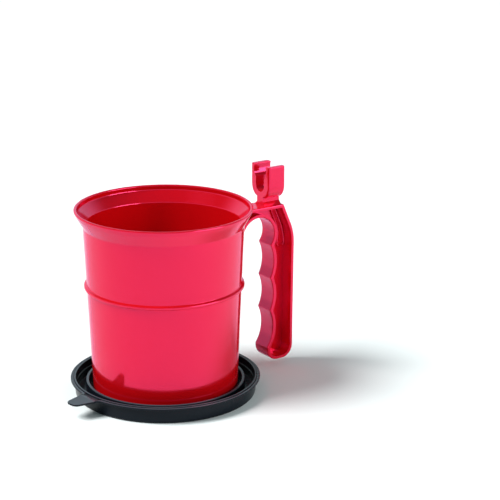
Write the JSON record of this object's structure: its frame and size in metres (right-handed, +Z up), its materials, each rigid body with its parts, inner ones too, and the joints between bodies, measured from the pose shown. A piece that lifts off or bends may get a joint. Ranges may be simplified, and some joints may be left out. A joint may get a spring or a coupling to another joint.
{
  "type": "paint cup with lid",
  "caption": "Glossy paint cup with flared rim, finger-grooved grip and brush clip, standing in its own turned-over snap lid with a pull tab.",
  "frame": {"origin": "centre of the turned-over lid's outer face, which lies on the floor under the cup", "axes": "+Z up along the cup's axis, +X from the cup's axis to the grip, +Y to the side of the grip with the shallow recess"},
  "size_m": [0.1931, 0.1344, 0.1532],
  "materials": {
    "red_plastic": "high gloss",
    "black_plastic": "semi-matte"
  },
  "bodies": {
    "lid": {"lid_shell": "black_plastic", "plug_ring": "black_plastic"},
    "tab": {"pull_tab": "black_plastic"},
    "cup": {"cup_body": "red_plastic", "grip": "red_plastic", "clip_neck": "red_plastic"},
    "jaw_left": {"clip_jaw_left": "red_plastic"},
    "jaw_right": {"clip_jaw_right": "red_plastic"}
  },
  "joints": [
    {"name": "lift", "type": "slide", "parent": "lid", "child": "cup", "axis": [0, 0, 1], "range_m": [0, 0.15]},
    {"name": "jaw_left_flex", "type": "hinge", "parent": "cup", "child": "jaw_left", "pos_m": [0.0888, 0.0035, 0.1293], "axis": [-1, 0, 0], "range_deg": [0, 6], "stiffness_Nm_per_rad": 5.75},
    {"name": "jaw_right_flex", "type": "hinge", "parent": "cup", "child": "jaw_right", "pos_m": [0.0888, -0.0035, 0.1293], "axis": [1, 0, 0], "range_deg": [0, 6], "stiffness_Nm_per_rad": 5.75},
    {"name": "tab_flex", "type": "hinge", "parent": "lid", "child": "tab", "pos_m": [-0.0697, -0.00918, 0.0107], "axis": [0.1305, -0.9914, 0], "range_deg": [0, 35], "stiffness_Nm_per_rad": 0.13}
  ]
}
